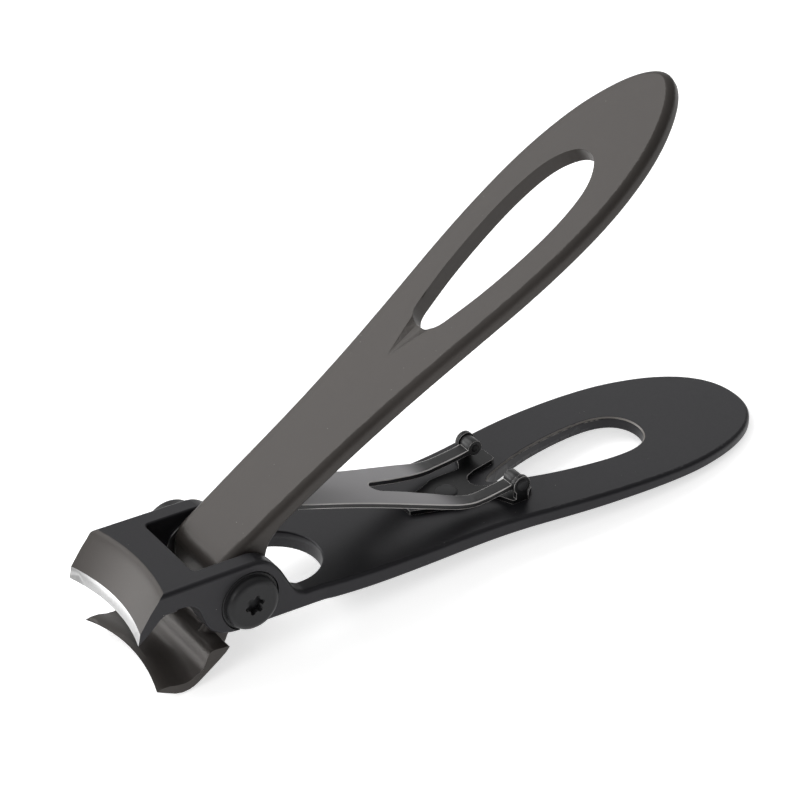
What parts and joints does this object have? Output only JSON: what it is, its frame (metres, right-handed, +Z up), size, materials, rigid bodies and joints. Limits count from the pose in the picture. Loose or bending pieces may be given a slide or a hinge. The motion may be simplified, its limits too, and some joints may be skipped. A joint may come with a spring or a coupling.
{
  "type": "nail clipper",
  "caption": "Wide-jaw scissor-action nail clipper: two finger-hole handles crossing at a side screw, concave ground blades, and a leaf return spring between the handles.",
  "frame": {"origin": "middle of the bounding box's underside, on the surface the open clipper rests on", "axes": "+X from the jaws to the handle tips, +Y across the blades away from the screw's socket, +Z up; shown open, lying on a table"},
  "size_m": [0.0916, 0.0224, 0.0508],
  "materials": {
    "frame_steel": "satin black coating on forged steel, bare ground cutting bevel",
    "lever_steel": "satin black coating on forged steel, bare ground cutting bevel",
    "screw_steel": "black oxide, six-lobe socket",
    "washer_steel": "black oxide",
    "nut_steel": "black oxide",
    "thrust_steel": "spring steel",
    "spring_steel": "blackened spring steel, satin",
    "plate_steel": "black coated sheet steel",
    "pin_steel": "black oxide",
    "rivet_steel": "black coated"
  },
  "bodies": {
    "handle": {"lower_handle_with_upper_jaw": "frame_steel", "pivot_screw": "screw_steel", "pivot_head_washer": "washer_steel", "pivot_cap_nut": "nut_steel", "thrust_washer_near": "thrust_steel", "thrust_washer_far": "thrust_steel", "spring_base_plate": "plate_steel", "spring_hinge_pin_near": "pin_steel", "spring_hinge_pin_far": "pin_steel", "spring_plate_rivet": "rivet_steel"},
    "lever": {"upper_lever_with_lower_jaw": "lever_steel"},
    "spring": {"spring_leaf": "spring_steel"}
  },
  "joints": [
    {"name": "lever_hinge", "type": "hinge", "parent": "handle", "child": "lever", "pos_m": [-0.03107, 0, 0.0085], "axis": [0, 1, 0], "range_deg": [0, 27.8], "stiffness_Nm_per_rad": 0.35, "springref_deg": -11.46},
    {"name": "spring_hinge", "type": "hinge", "parent": "handle", "child": "spring", "pos_m": [0.00819, 0, 0.00652], "axis": [0, -1, 0], "range_deg": [0, 10.2]}
  ],
  "couplings": [
    {"joint": "spring_hinge", "follows": "lever_hinge", "ratio": 0.366}
  ]
}
